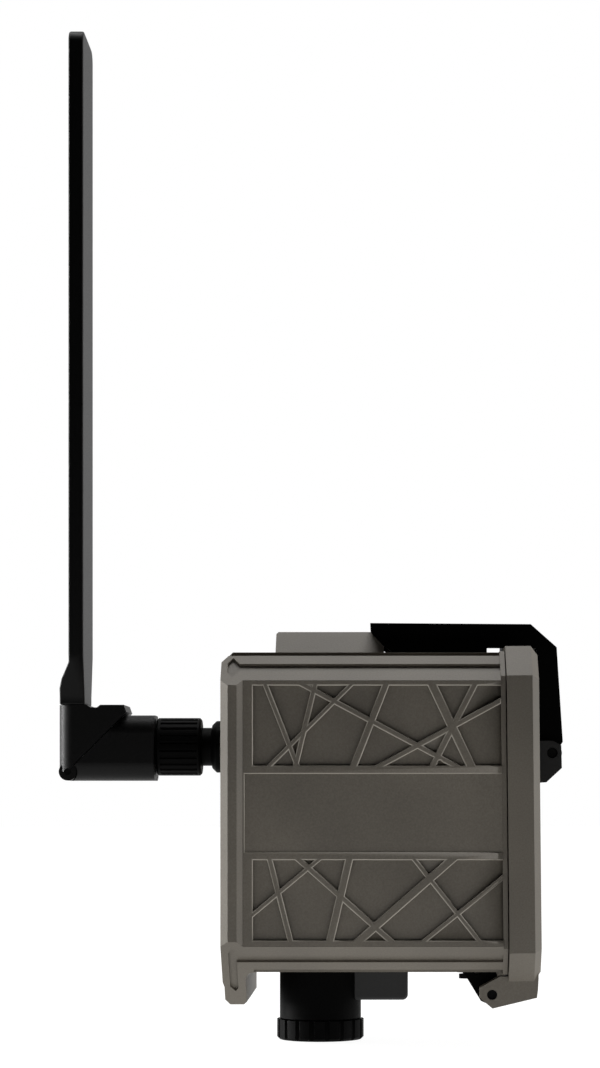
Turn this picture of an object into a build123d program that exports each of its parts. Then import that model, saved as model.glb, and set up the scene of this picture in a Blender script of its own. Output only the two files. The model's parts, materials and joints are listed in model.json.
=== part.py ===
"""Weatherproof cellular link box for a trail camera, as an assembly of separate pieces.

Millimetres, +Z up.  The front looks along -Y, the battery door is at +X and the aerial at -X.
The origin is the mouth of the tripod thread, in the middle of the back face.
"""
import os
from math import cos, pi, sin, sqrt

from build123d import *

# ---- body ----------------------------------------------------------------------------------
depth = 72.0              # front rim to back face
body_left = -41.6         # left side of the body
seam_x = 31.85            # right end of the body, at mid height
body_top = 42.0
body_bottom = -42.3
wall = 2.5
pilot_radius = 1.1        # holes that the small screws bite into
corner_cut = 2.8          # chamfer of the top left edge
lean = 0.6                # degrees that the right end and the door lean, top to the left

rim_height = 1.25         # how far the left rim stands in front of the panel face
rim_outer_bevel = 1.95
rim_flat = 2.35
rim_inner_bevel = 1.5
cover_depth = 10.0        # front cover, from the rim face
rail_top = 41.0           # top edge of the front cover
rail_bottom = -41.5
slope_top = 33.0          # height at which the 45 degree slope leaves the rim face
slope_bottom = 33.9
channel_depth = 0.8       # channel sunk into the sloped bands, square to them

panel_thick = 3.0
panel_fit = 0.05
floor_thick = 2.0         # cover's own floor behind the panel
window_depth = 1.2
window_left = -33.1
upper_window = (12.1, 32.9)
lower_window = (-33.5, -12.6)
plain_band = (-10.5, 9.9)
plain_left = -35.3
plain_depth = 0.4
dimple = (15.6, 12.9, 0.55)
# ribs of the two lattices: start x, start z, end x, end z, width
upper_ribs = (
    (-29.8, 32.9, -21.6, 12.1, 1.35), (-17.0, 32.9, -22.0, 12.1, 1.45), (-7.8, 32.9, -28.7, 12.1, 1.2),
    (-19.6, 32.9, 19.4, 12.1, 1.45), (1.4, 32.9, -6.8, 12.1, 1.9), (13.7, 32.9, 23.6, 12.1, 2.4),
    (0.2, 12.1, 31.6, 29.1, 1.5), (24.5, 32.9, 13.8, 12.1, 1.7))
lower_ribs = (
    (-28.7, -12.6, -23.4, -33.5, 1.5), (-33.1, -26.7, -16.2, -12.6, 1.2), (-21.0, -12.6, 2.6, -33.5, 1.55),
    (-8.1, -12.6, -13.0, -33.5, 2.1), (18.5, -12.6, -5.3, -33.5, 2.2), (9.1, -12.6, 25.7, -33.5, 1.25),
    (11.7, -33.5, 32.4, -16.8, 1.25))

foot_depth = 20.0         # the foot's sloped front belongs to the front cover
foot_left = -41.2
foot_right = -35.5
foot_bottom = -51.4
foot_arch = 2.3

rear_depth = 10.0         # rear cover, from the back face
rear_recess = 7.5         # strap channel, from the back face
pad_top = 9.0             # top of the raised lower back
pad_left = -36.0
pad_right = 27.0
strap_width = 27.0        # room for 25 mm webbing
bridge_half = 18.0
bridge_thick = 3.0
bridge_sink = 1.6         # counterbore for the bridge's screw heads
pad_chamfer = 1.5
insert_radius = 4.5
insert_length = 7.0
thread_radius = 2.6       # minor radius of the 1/4-20 thread
thread_length = 6.5

# ---- door, in its own leaning frame: x from the door's inner face -----------------------------
door_x = 33.4             # inner face of the door, at mid height
door_thick = 8.5
door_top = 43.6
door_bottom = -44.7
door_front = 1.0          # door face, behind the rim face
door_slope_top = 34.5
door_slope_bottom = 35.9
door_bevel = 2.4
door_bevel_depth = 1.8
door_wall = 2.3
door_gap = 0.3            # flange to door
flange_thick = 1.25
flange_front = 1.9
flange_top = 42.25
flange_bottom = -42.8
flange_slope_top = 33.6
flange_slope_bottom = 33.9
flange_back = 1.5
seal_width = 1.6
seal_offset = 0.8         # from the mouth's edge to the seal
seal_groove = 1.5
liner_thick = 1.5
liner_ledge = 1.5
hinge_x = -4.4            # hinge pin in the door's frame
hinge_z = -48.2
hinge_radius = 1.3
pin_fit = 0.05
ear_front = 8.8
ear_thick = 5.2
knuckle_thick = 11.5
knuckle_gap = 0.3
knuckle_seat = 1.2        # thickness under the knuckle's screw heads
barrel_radius = 2.9

# ---- latch ---------------------------------------------------------------------------------
latch_x = 46.1            # latch pin
latch_z = 15.7
latch_radius = 1.4
latch_hub = 2.8
latch_top = 50.7
latch_front = -47.8
latch_back = -22.0
latch_side_gap = 0.2
latch_cheek = 2.2
latch_web = 1.7
latch_clear = 0.3         # lever to the door
bracket_ear = 3.0
bracket_base = 1.1
bracket_screw_z = 10.0
keeper_left = -28.2
keeper_right = 1.0
keeper_top = 48.7
keeper_front = -47.5      # foot of its 45 degree front
keeper_back = -26.0

# ---- aerial --------------------------------------------------------------------------------
aerial_y = -42.0
aerial_z = 17.5
jack_flange = 3.9
jack_flange_radius = 7.0
jack_neck = 2.8
jack_neck_radius = 5.15
jack_thread_radius = 3.1
jack_thread_length = 4.2
jack_tail = 4.5           # thread inside the wall
nut_length = 12.1
nut_radius = 7.8
nut_ribs = 24
tail_radius = 4.55
turn_fit = 0.06
nut_play = 0.3            # nut to elbow
sleeve_left = -86.3
sleeve_bottom = 8.3
sleeve_height = 17.6
elbow_round = 5.0
elbow_top = 28.6
fold_radius = 2.4
fold_pin_radius = 0.9
fold_gap = 0.15
fold_knuckle = 5.8
blade_thick = 4.0
blade_width = 24.0
blade_top = 208.9
blade_left = -83.2
blade_corner = 3.5

# ---- ports under the body --------------------------------------------------------------------
port_x = -16.3
port_y = -38.0
spout_radius = 11.05
spout_bottom = -56.3
spout_bore = 8.4
port_thread_radius = 9.8
port_thread_length = 4.0
cap_radius = 11.8
cap_height = 5.6
cap_ribs = 18
power_right = 7.5
power_bottom = -51.0
power_front = -44.0
power_back = -30.0
power_hole_x = 1.2
power_hole_radius = 4.0
plug_length = 7.0

# ---- inside --------------------------------------------------------------------------------
board_left = -36.0
board_right = 24.0
board_thick = 1.6
board_gap = 2.0
board_bottom = -33.0
board_top = 36.0
cell_radius = 7.1
cell_length = 50.5
cell_pitch = 15.0
cell_columns = 3
cell_rows = 2
tray_wall = 1.2
tray_right = 30.2
tray_bottom = -24.0
seat_gap = 0.3
spring_height = 2.0
sim_z = -17.0             # middle of the card slot
button_y = -53.6
button_z = 20.0
button_radius = 2.0
lamp_z = 8.0
lamp_radius = 1.45
rail_width = 2.2          # rails that the battery tray slides on

# ---- worked out from the above -------------------------------------------------------------
front = -depth
panel_y = front + rim_height
cover_back = front + cover_depth
shell_back = -rear_depth
cavity_left = body_left + wall
cavity_front = cover_back + wall
cavity_back = shell_back - wall
cavity_top = body_top - wall
cavity_bottom = body_bottom + wall
panel_left = body_left + rim_outer_bevel + rim_flat + rim_inner_bevel
panel_top = slope_top + rim_height
panel_bottom = -(slope_bottom + rim_height)
far = 60.0                # past the right end of the body, before it is cut to its lean
door_place = Pos(door_x, 0, 0) * Rot(0, -lean, 0)
screw_spots = [(x, z) for x in (cavity_left + 5, seam_x - 9.5)
               for z in (cavity_bottom + 3.8, cavity_top - 3.5)]
keeper_spots = [(keeper_left + 8, y) for y in (-38.5, -29.0)]
knuckle_spots = [(seam_x - 8.65, y) for y in (-50.0, -24.0)]
bracket_screw_ys = (-40.0, -29.8)
bridge_screw_xs = (-12.0, 12.0)
bridge_screw_z = pad_top + strap_width + 2.2


def box(x0, x1, y0, y1, z0, z1):
    """A block between two corners."""
    return Pos((x0 + x1) / 2, (y0 + y1) / 2, (z0 + z1) / 2) * Box(x1 - x0, y1 - y0, z1 - z0)


def slab(points, y0, y1):
    """An outline in X and Z, thickened from y0 to y1."""
    face = make_face(Polyline([(x, y1, z) for x, z in points], close=True))
    return extrude(face, amount=y1 - y0, dir=(0, -1, 0))


def side_slab(points, x0, x1):
    """An outline in Y and Z, thickened from x0 to x1."""
    face = make_face(Polyline([(x0, y, z) for y, z in points], close=True))
    return extrude(face, amount=x1 - x0, dir=(1, 0, 0))


def plan_slab(points, z0, z1):
    """An outline in X and Y, thickened from z0 to z1."""
    face = make_face(Polyline([(x, y, z0) for x, y in points], close=True))
    return extrude(face, amount=z1 - z0, dir=(0, 0, 1))


def rod_x(radius, x0, x1, y, z):
    return Pos((x0 + x1) / 2, y, z) * Rot(0, 90, 0) * Cylinder(radius, x1 - x0)


def rod_y(radius, y0, y1, x, z):
    return Pos(x, (y0 + y1) / 2, z) * Rot(90, 0, 0) * Cylinder(radius, y1 - y0)


def rod_z(radius, z0, z1, x, y):
    return Pos(x, y, (z0 + z1) / 2) * Cylinder(radius, z1 - z0)


def slope(start, sign, x0=-far, x1=far):
    """Everything in front of a 45 degree plane that leaves the rim face at height start."""
    reach = 45.0
    points = [(front - 3, start - 3), (front + reach, start + reach), (front - 3, start + reach)]
    return side_slab([(y, sign * z) for y, z in points], x0, x1)


def rear_slope(start, sign, x0=-far, x1=far):
    """Everything behind a 45 degree plane that leaves the back face at height start."""
    reach = 45.0
    points = [(3, start - 3), (-reach, start + reach), (3, start + reach)]
    return side_slab([(y, sign * z) for y, z in points], x0, x1)


def rib(x0, z0, x1, z1, width, y0, y1):
    """A straight lattice rib, run a little past both of its ends."""
    run = sqrt((x1 - x0) ** 2 + (z1 - z0) ** 2)
    ux, uz = (x1 - x0) / run, (z1 - z0) / run
    px, pz = -uz * width / 2, ux * width / 2
    ax, az = x0 - ux * width * 2, z0 - uz * width * 2
    bx, bz = x1 + ux * width * 2, z1 + uz * width * 2
    return slab([(ax + px, az + pz), (bx + px, bz + pz), (bx - px, bz - pz), (ax - px, az - pz)], y0, y1)


def beyond_seam():
    """What lies past the leaning right end of the body."""
    return door_place * box(seam_x - door_x, far, -depth - 10, 10, -70, 70)


def join(shapes):
    whole = shapes[0]
    for shape in shapes[1:]:
        whole += shape
    return whole


def group(shapes):
    """Several separate solids in one node."""
    return Compound(children=[solid for shape in shapes for solid in shape.solids()])


def foot(top, y0, y1):
    """The foot from its bottom up to the given height, with its concave arch on the right."""
    outline = [(body_left, top), (body_left, -45.0), (foot_left, -46.4), (foot_left, foot_bottom + 1.4),
               (foot_left + 1.3, foot_bottom), (foot_right - 0.8, foot_bottom),
               (foot_right, foot_bottom + 0.7), (foot_right, body_bottom - foot_arch),
               (foot_right + foot_arch, body_bottom - foot_arch), (foot_right + foot_arch, top)]
    arch = rod_y(foot_arch, y0 - 1, y1 + 1, foot_right + foot_arch, body_bottom - foot_arch)
    return slab(outline, y0, y1) - arch


def body_outline(top, bottom, cut):
    """The body's section without its foot, past the seam on the right."""
    return [(far, top), (body_left + cut, top), (body_left, top - cut), (body_left, bottom), (far, bottom)]


# ---- front ---------------------------------------------------------------------------------
def channel(points, start, sign):
    """A channel with walls square to the sloped band that it is sunk into."""
    lift = 0.5
    ring = [(x, front + (sign * z - start) - lift, z + sign * lift) for x, z in points]
    face = make_face(Polyline(ring, close=True))
    amount = lift * sqrt(2) + channel_depth
    return extrude(face, amount=amount, dir=(0, 1 / sqrt(2), -sign / sqrt(2)))


def front_cover():
    top_channel = [(far, 38.75), (-36.7, 38.75), (-38.55, 40.4), (-39.95, 38.9), (-39.95, 36.55),
                   (-38.65, 35.1), (-36.6, 36.85), (far, 36.85)]
    bottom_channel = [(far, -37.55), (-36.6, -37.55), (-38.05, -36.0), (-38.85, -36.0), (-39.7, -37.0),
                      (-39.65, -46.3), (-38.25, -47.6), (-37.5, -46.7), (-37.5, -39.45), (far, -39.45)]
    outline = body_outline(rail_top, rail_bottom, corner_cut - (body_top - rail_top))
    body = slab(outline, panel_y, cover_back)
    left = body_left
    ridge = plan_slab([(left, panel_y), (left + rim_outer_bevel, front),
                       (left + rim_outer_bevel + rim_flat, front), (panel_left, panel_y),
                       (panel_left, panel_y + 1), (left, panel_y + 1)], body_bottom, rail_top - 3)
    cover = body + foot(rail_bottom + 0.5, panel_y, cover_back) + ridge
    cover += foot(body_bottom, cover_back, front + foot_depth)
    cover -= slope(slope_top, 1) + slope(slope_bottom, -1)
    cover -= channel(top_channel, slope_top, 1)
    cover -= channel(bottom_channel, slope_bottom, -1)
    seat = panel_y + panel_thick
    cover -= box(panel_left, far, front - 1, seat, panel_bottom, panel_top)
    hollow = seat + floor_thick
    cover -= box(cavity_left, seam_x - 4, hollow, cover_back + 1, rail_bottom + 3.5, rail_top - 3.5) \
        - join([rod_y(3.2, hollow - 1, cover_back + 2, x, z) for x, z in screw_spots])
    for x, z in screw_spots:
        cover -= rod_y(pilot_radius, hollow + 0.5, cover_back + 1, x, z)
    return cover - beyond_seam()


def front_panel():
    back = panel_y + panel_thick
    plate = box(panel_left + panel_fit, far, panel_y, back, panel_bottom + panel_fit, panel_top - panel_fit)
    for (low, high), ribs in ((upper_window, upper_ribs), (lower_window, lower_ribs)):
        pocket = box(window_left, far + 1, panel_y - 1, panel_y + window_depth, low, high)
        for x0, z0, x1, z1, width in ribs:
            pocket -= rib(x0, z0, x1, z1, width, panel_y - 2, back + 1)
        plate -= pocket
    plate -= box(plain_left, far + 1, panel_y - 1, panel_y + plain_depth, plain_band[0], plain_band[1])
    plate -= rod_y(dimple[2], panel_y - 1, panel_y + window_depth / 2, dimple[0], dimple[1])
    return plate - beyond_seam()


# ---- housing -------------------------------------------------------------------------------
def housing_shell():
    shell = slab(body_outline(body_top, body_bottom, corner_cut), cover_back, shell_back)
    shell += foot(body_bottom + 1, front + foot_depth, shell_back)
    shell -= beyond_seam()
    flange_x = seam_x - door_x
    flange = box(flange_x, flange_x + flange_thick, front + flange_front, -flange_back,
                 flange_bottom, flange_top)
    flange -= slope(flange_slope_top, 1) + slope(flange_slope_bottom, -1)
    flange -= rear_slope(flange_slope_top + 3, 1) + rear_slope(flange_slope_bottom + 3, -1)
    shell += door_place * flange
    shell -= box(cavity_left, far, cavity_front, cavity_back, cavity_bottom, cavity_top)
    for x, z in screw_spots:
        shell += rod_y(3.2, cavity_back - 4, cavity_back + 0.5, x, z)
        shell -= rod_y(pilot_radius, cavity_back - 3.5, shell_back + 1, x, z)
        shell -= rod_y(1.3, cover_back - 1, cavity_front + 1, x, z)
    for x, z in board_spots:
        shell -= rod_y(pilot_radius, cavity_front - 2.1, cavity_front + 1, x, z)
    shell -= rod_x(jack_thread_radius + turn_fit, body_left - 1, cavity_left + 1, aerial_y, aerial_z)
    shell -= rod_z(spout_bore - 2, body_bottom - 1, cavity_bottom + 1, port_x, port_y)
    shell -= rod_z(power_hole_radius, body_bottom - 1, cavity_bottom + 1, power_hole_x, port_y)
    for x, y in keeper_spots:
        shell -= rod_z(pilot_radius, cavity_top - 1, body_top + 1, x, y)
    for x, y in knuckle_spots:
        shell -= rod_z(pilot_radius, body_bottom - 1, cavity_bottom + 1, x, y)
    return shell


def rear_cover():
    cover = slab(body_outline(body_top, body_bottom, corner_cut), shell_back, -rear_recess)
    cover += foot(body_bottom + 1, shell_back, 0)
    cover -= beyond_seam()
    pad = box(pad_left, pad_right, -rear_recess - 0.5, 0, body_bottom, pad_top)
    outer_top = pad.edges().group_by(Axis.Z)[-1].group_by(Axis.Y)[-1]
    pad = chamfer(pad.edges().filter_by(Axis.Z) + outer_top, pad_chamfer)
    rim = box(body_left, body_left + 3.5, shell_back, -2.5, body_bottom, body_top - corner_cut)
    cover += pad + rim
    cover -= rod_y(insert_radius, -insert_length, 1, 0, 0)
    for x, z in screw_spots:
        cover -= rod_y(1.3, shell_back - 1, 1, x, z)
        cover -= rod_y(2.6, -rear_recess - 0.2 if z > 0 else -5.0, 1, x, z)
    for x in bridge_screw_xs:
        cover -= rod_y(pilot_radius, shell_back - 1, 1, x, bridge_screw_z)
    return cover


def strap_bridge():
    high = pad_top + strap_width
    bridge = box(-bridge_half, bridge_half, -bridge_thick, 0, pad_top + 0.1, body_top - 0.5)
    bridge += box(-bridge_half, bridge_half, -rear_recess, 0, high, body_top - 0.5)
    bridge += box(-bridge_half, bridge_half, -rear_recess, 0, pad_top + 0.1, pad_top + 2.1)
    bridge -= box(-bridge_half - 1, bridge_half + 1, -rear_recess - 1, -bridge_thick, pad_top + 2.1, high)
    bridge = chamfer(bridge.edges().filter_by(Axis.Z).group_by(Axis.Y)[-1], 1.2)
    for z in range(3):
        bridge -= box(-9.0, 9.0, -0.8, 1, pad_top + 7 + 7 * z, pad_top + 9 + 7 * z)
    for x in bridge_screw_xs:
        bridge -= rod_y(1.3, -rear_recess - 1, 1, x, bridge_screw_z)
        bridge -= rod_y(2.4, -bridge_sink, 1, x, bridge_screw_z)
    return bridge


def thread_insert():
    knurl = rod_y(insert_radius, -insert_length, 0, 0, 0)
    for n in range(16):
        a = 2 * pi * n / 16
        knurl -= rod_y(0.35, -insert_length + 1, -1, insert_radius * cos(a), insert_radius * sin(a))
    return knurl - rod_y(thread_radius, -thread_length, 1, 0, 0)


def screw_y(x, z, y_head, y_tip, shaft=1.05, head=2.3, head_height=1.4):
    """A pan head screw along Y, its head's seat at y_head, with a cross recess."""
    way = 1 if y_head > y_tip else -1
    low, high = sorted((y_head, y_tip))
    screw = rod_y(shaft, low, high, x, z)
    h0, h1 = sorted((y_head, y_head + way * head_height))
    screw += rod_y(head, h0, h1, x, z)
    c0, c1 = sorted((y_head + way * head_height * 0.4, y_head + way * (head_height + 1)))
    screw -= box(x - 1.3, x + 1.3, c0, c1, z - 0.25, z + 0.25)
    screw -= box(x - 0.25, x + 0.25, c0, c1, z - 1.3, z + 1.3)
    return screw


# ---- aerial --------------------------------------------------------------------------------
jack_neck_end = body_left - jack_flange - jack_neck
nut_end = jack_neck_end - nut_length
tail_start = jack_neck_end - jack_thread_length - 0.4
fold_x = sleeve_left + fold_radius
fold_z = sleeve_bottom + fold_radius
elbow_y = (aerial_y - sleeve_height / 2, aerial_y + sleeve_height / 2)


def antenna_jack():
    jack = rod_x(jack_flange_radius, body_left - jack_flange, body_left, aerial_y, aerial_z)
    jack = chamfer(jack.edges().group_by(Axis.X)[0], 1.2)
    jack += rod_x(jack_neck_radius, jack_neck_end, body_left - 1, aerial_y, aerial_z)
    jack += rod_x(jack_thread_radius, jack_neck_end - jack_thread_length, cavity_left + jack_tail,
                  aerial_y, aerial_z)
    jack -= rod_x(0.8, jack_neck_end - 10, jack_neck_end, aerial_y, aerial_z)
    return jack


def jack_nut():
    nut = Pos(cavity_left + 2.2, aerial_y, aerial_z) * Rot(0, 90, 0) * \
        extrude(RegularPolygon(4.6, 6), amount=1.25, both=True)
    return nut - rod_x(jack_thread_radius, cavity_left, cavity_left + 8, aerial_y, aerial_z)


def jack_washer():
    start = cavity_left
    return rod_x(5.2, start, start + 0.8, aerial_y, aerial_z) - \
        rod_x(jack_thread_radius + turn_fit, start - 1, start + 2, aerial_y, aerial_z)


def antenna_nut():
    nut = rod_x(nut_radius, nut_end, jack_neck_end, aerial_y, aerial_z)
    nut = chamfer(nut.edges(), 0.5)
    for n in range(nut_ribs):
        a = 2 * pi * (n + 0.5) / nut_ribs
        nut -= rod_x(0.5, nut_end + 1.2, jack_neck_end - 1.0, aerial_y + (nut_radius + 0.1) * cos(a),
                     aerial_z + (nut_radius + 0.1) * sin(a))
    nut -= rod_x(jack_thread_radius + turn_fit, tail_start, jack_neck_end + 1, aerial_y, aerial_z)
    return nut - rod_x(tail_radius + turn_fit, nut_end - 1, tail_start, aerial_y, aerial_z)


def mitre(sign, gap):
    """Everything on one side of the 45 degree mitre through the fold pin."""
    reach = 40.0
    x, z = fold_x - sign * gap, fold_z + sign * gap
    corner = (x - reach, z + reach) if sign > 0 else (x + reach, z - reach)
    return slab([(x - reach, z - reach), (x + reach, z + reach), corner], elbow_y[0] - 10, elbow_y[1] + 10)


def antenna_sleeve():
    barrel = rod_x(sleeve_height / 2, fold_x, nut_end - nut_play, aerial_y, sleeve_bottom + sleeve_height / 2)
    block = box(sleeve_left, nut_end - nut_play, elbow_y[0], elbow_y[1],
                sleeve_bottom, sleeve_bottom + sleeve_height)
    block = fillet(block.edges().filter_by(Axis.X), elbow_round)
    sleeve = (block + barrel) - mitre(1, -fold_gap / 2)
    middle = (aerial_y - fold_knuckle / 2, aerial_y + fold_knuckle / 2)
    sleeve -= box(sleeve_left - 1, fold_x, elbow_y[0] - 1, elbow_y[1] + 1, sleeve_bottom - 1, elbow_top)
    for y0, y1 in ((elbow_y[0] - 1, middle[0] + fold_gap / 2), (middle[1] - fold_gap / 2, elbow_y[1] + 1)):
        sleeve -= rod_y(fold_radius + 0.3, y0, y1, fold_x, fold_z)
    sleeve += rod_y(fold_radius, middle[0] + fold_gap / 2, middle[1] - fold_gap / 2, fold_x, fold_z)
    sleeve += rod_x(tail_radius, nut_end - 1, tail_start - 0.3, aerial_y, aerial_z)
    return sleeve - rod_y(fold_pin_radius + pin_fit, elbow_y[0] - 1, elbow_y[1] + 1, fold_x, fold_z)


def tongue():
    """The blade's root, glued into the knuckle."""
    return box(blade_left + 0.8, blade_left + blade_thick - 0.8, aerial_y - 6, aerial_y + 6,
               elbow_top - 4, elbow_top + 1)


def antenna_knuckle():
    outline = [(sleeve_left, sleeve_bottom), (sleeve_left, elbow_top), (-78.7, elbow_top),
               (-77.6, elbow_top - 0.7), (-75.9, elbow_top - 0.7), (-75.0, elbow_top),
               (-68.7, elbow_top), (-68.0, elbow_top - 2.0), (-60.0, elbow_top - 2.0),
               (-60.0, sleeve_bottom)]
    block = slab(outline, elbow_y[0], elbow_y[1])
    knuckle = block & mitre(1, fold_gap / 2)
    sides = knuckle.edges().filter_by(Axis.Z).group_by(Axis.X)[0]
    knuckle = fillet(sides, 4.0)
    middle = (aerial_y - fold_knuckle / 2, aerial_y + fold_knuckle / 2)
    knuckle -= rod_y(fold_radius + 0.3, middle[0] - fold_gap / 2, middle[1] + fold_gap / 2, fold_x, fold_z)
    knuckle -= box(sleeve_left - 1, fold_x + 3, middle[0] - fold_gap / 2, middle[1] + fold_gap / 2,
                   sleeve_bottom - 1, fold_z)
    corner = box(sleeve_left - 1, fold_x, elbow_y[0] - 1, elbow_y[1] + 1, sleeve_bottom - 1, fold_z)
    knuckle -= corner
    inset = 1.5
    for y0, y1 in ((elbow_y[0] + inset, middle[0] - fold_gap / 2),
                   (middle[1] + fold_gap / 2, elbow_y[1] - inset)):
        knuckle += rod_y(fold_radius, y0, y1, fold_x, fold_z)
    knuckle -= rod_y(fold_pin_radius, elbow_y[0] - 1, elbow_y[1] + 1, fold_x, fold_z)
    return knuckle - tongue()


def antenna_pin():
    return rod_y(fold_pin_radius, elbow_y[0] + 1.6, elbow_y[1] - 1.6, fold_x, fold_z)


def antenna_blade():
    right = blade_left + blade_thick
    half, root = blade_width / 2, sleeve_height / 2
    side = slab([(sleeve_left + 0.4, elbow_top), (sleeve_left + 0.4, 33.0), (sleeve_left + 1.0, 35.5),
                 (blade_left, 40.0), (blade_left, blade_top), (right, blade_top), (right, elbow_top)],
                aerial_y - half, aerial_y + half)
    face = [(aerial_y - root, elbow_top), (aerial_y - root, 31.0), (aerial_y - half, 42.0),
            (aerial_y - half, blade_top), (aerial_y + half, blade_top), (aerial_y + half, 42.0),
            (aerial_y + root, 31.0), (aerial_y + root, elbow_top)]
    blade = side & side_slab(face, sleeve_left - 1, right + 1)
    blade = fillet(blade.edges().filter_by(Axis.X).group_by(Axis.Z)[-1], blade_corner)
    return blade + tongue()


# ---- door ----------------------------------------------------------------------------------
mouth = (cavity_front, cavity_back, cavity_bottom, cavity_top)      # y0, y1, z0, z1


def ring(y0, y1, z0, z1, width, x0, x1):
    """A rectangular ring around an opening, in the door's frame."""
    outer = box(x0, x1, y0 - width, y1 + width, z0 - width, z1 + width)
    return outer - box(x0 - 1, x1 + 1, y0, y1, z0, z1)


def seal_ring(x0, x1):
    y0, y1, z0, z1 = mouth
    grow = seal_offset
    return ring(y0 - grow, y1 + grow, z0 - grow, z1 + grow, seal_width, x0, x1)


def door_hollow(shrink, x0, x1):
    y0, y1, z0, z1 = mouth
    return box(x0, x1, y0 + shrink, y1 - shrink, z0 + shrink, z1 - shrink)


def ear(y0, y1):
    points = [(0.0, -40.0), (-0.1, -43.4), (-2.25, -43.4), (-7.6, -46.25), (-7.6, -49.0), (-4.35, -51.8),
              (7.4, -49.1), (7.7, -47.0), (door_thick - 0.6, -44.0), (door_thick - 0.6, -40.0)]
    return slab(points, y0, y1)


def ear_spans():
    """The two hinge ears, then the two housing knuckles between them, as y ranges."""
    ears = [(front + ear_front, front + ear_front + ear_thick), (-ear_front - ear_thick, -ear_front)]
    arms = [(ears[0][1] + knuckle_gap, ears[0][1] + knuckle_gap + knuckle_thick),
            (ears[1][0] - knuckle_gap - knuckle_thick, ears[1][0] - knuckle_gap)]
    return ears, arms


def door_cover():
    cover = box(0, door_thick, front + door_front, -door_front, door_bottom, door_top)
    cover -= slope(door_slope_top, 1) + slope(door_slope_bottom, -1)
    cover -= rear_slope(door_slope_top, 1) + rear_slope(door_slope_bottom, -1)
    outer = cover.faces().sort_by(Axis.X)[-1]
    cover = chamfer(outer.edges(), door_bevel_depth, door_bevel)
    for y0, y1 in ear_spans()[0]:
        cover += ear(y0, y1)
    cover -= door_hollow(1.0, -1, liner_thick + 0.5)
    cover -= door_hollow(1.0 + liner_ledge, -1, door_thick - door_wall)
    cover -= seal_ring(-1, seal_groove)
    cover -= rod_y(hinge_radius + pin_fit, -depth, 0, hinge_x, hinge_z)
    for y, z in liner_spots():
        cover += rod_x(2.6, liner_thick + 0.5, door_thick - 1, y, z)
        cover -= rod_x(0.9, 0, door_thick - 3, y, z)
    for y in bracket_screw_ys:
        cover -= rod_x(1.0, door_thick - 3.5, door_thick + 1, y, bracket_screw_z)
    return door_place * cover


def liner_spots():
    y0, y1, z0, z1 = mouth
    return [(y, z) for y in (y0 + 6, y1 - 6) for z in (z0 + 6, z1 - 6)]


def door_liner():
    plate = door_hollow(1.0 + panel_fit, 0.5, 0.5 + liner_thick)
    plate -= box(-1, 1.0, mouth[0] + 12, mouth[1] - 12, mouth[2] + 12, mouth[3] - 12)
    for y, z in liner_spots():
        plate -= rod_x(1.1, -1, 5, y, z)
    return door_place * plate


def liner_screws():
    heads = []
    for y, z in liner_spots():
        screw = rod_x(0.85, -0.3, door_thick - 3.2, y, z) + rod_x(1.9, -0.4, 0.5, y, z)
        screw -= box(-1, 0, y - 1.2, y + 1.2, z - 0.25, z + 0.25)
        heads.append(door_place * (screw - box(-1, 0, y - 0.25, y + 0.25, z - 1.2, z + 1.2)))
    return group(heads)


def door_seal():
    return door_place * seal_ring(-door_gap + pin_fit, seal_groove)


def hinge_pin():
    ears, _ = ear_spans()
    pin = rod_y(hinge_radius, ears[0][0] + 0.9, ears[1][1] - 0.9, hinge_x, hinge_z)
    return door_place * pin


def hinge_point():
    """Where the hinge pin is in the body's frame."""
    spot = (door_place * Pos(hinge_x, 0, hinge_z)).position
    return spot.X, spot.Z


def hinge_knuckle():
    x, z = hinge_point()
    right = seam_x - 0.85
    outline = [(21.9, body_bottom), (26.7, -50.2), (x - 1.4, z - 2.6), (x, z), (x + 2.4, z + 1.2),
               (right, body_bottom - 0.9), (right - 0.4, body_bottom), (26.9, body_bottom),
               (26.6, body_bottom - 1.0), (25.3, body_bottom - 1.0), (25.0, body_bottom)]
    _, arms = ear_spans()
    spine = [(21.9, body_bottom), (22.5, body_bottom - knuckle_seat), (24.6, body_bottom - knuckle_seat),
             (24.6, body_bottom)]
    knuckle = slab(spine, arms[0][0], arms[1][1])
    for y0, y1 in arms:
        knuckle += slab(outline, y0, y1) + rod_y(barrel_radius, y0, y1, x, z)
    knuckle -= rod_y(hinge_radius + pin_fit, -depth, 0, x, z)
    for x, y in knuckle_spots:
        knuckle -= rod_z(1.25, -far, 0, x, y) + rod_z(2.2, -far, body_bottom - knuckle_seat, x, y)
    return knuckle


# ---- latch ---------------------------------------------------------------------------------
def latch_bracket():
    x, z = latch_local()
    base_x = door_thick
    outline = [(base_x, 7.6), (11.2, 7.7), (15.4, 11.5), (15.3, 17.6), (13.1, 18.8), (base_x, 18.8)]
    y_front, y_back = latch_front - latch_side_gap, latch_back + latch_side_gap
    bracket = box(base_x, base_x + bracket_base, y_front - bracket_ear, y_back + bracket_ear, 7.6, 17.2)
    for y0, y1 in ((y_front - bracket_ear, y_front), (y_back, y_back + bracket_ear)):
        bracket += slab(outline, y0, y1)
    bracket -= rod_y(latch_radius + pin_fit, -depth, 0, x, z)
    for y in bracket_screw_ys:
        bracket -= rod_x(1.1, base_x - 1, base_x + 3, y, bracket_screw_z)
    return door_place * bracket


def latch_local():
    spot = (door_place.inverse() * Pos(latch_x, 0, latch_z)).position
    return spot.X, spot.Z


def latch_screws():
    screws = []
    seat, z = door_thick + bracket_base, bracket_screw_z
    for y in bracket_screw_ys:
        screw = rod_x(0.95, door_thick - 3.4, seat + 0.2, y, z)
        screw += rod_x(1.8, seat, seat + 0.9, y, z)
        screw -= box(seat + 0.5, seat + 2, y - 1.1, y + 1.1, z - 0.25, z + 0.25)
        screws.append(door_place * screw)
    return group(screws)


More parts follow.
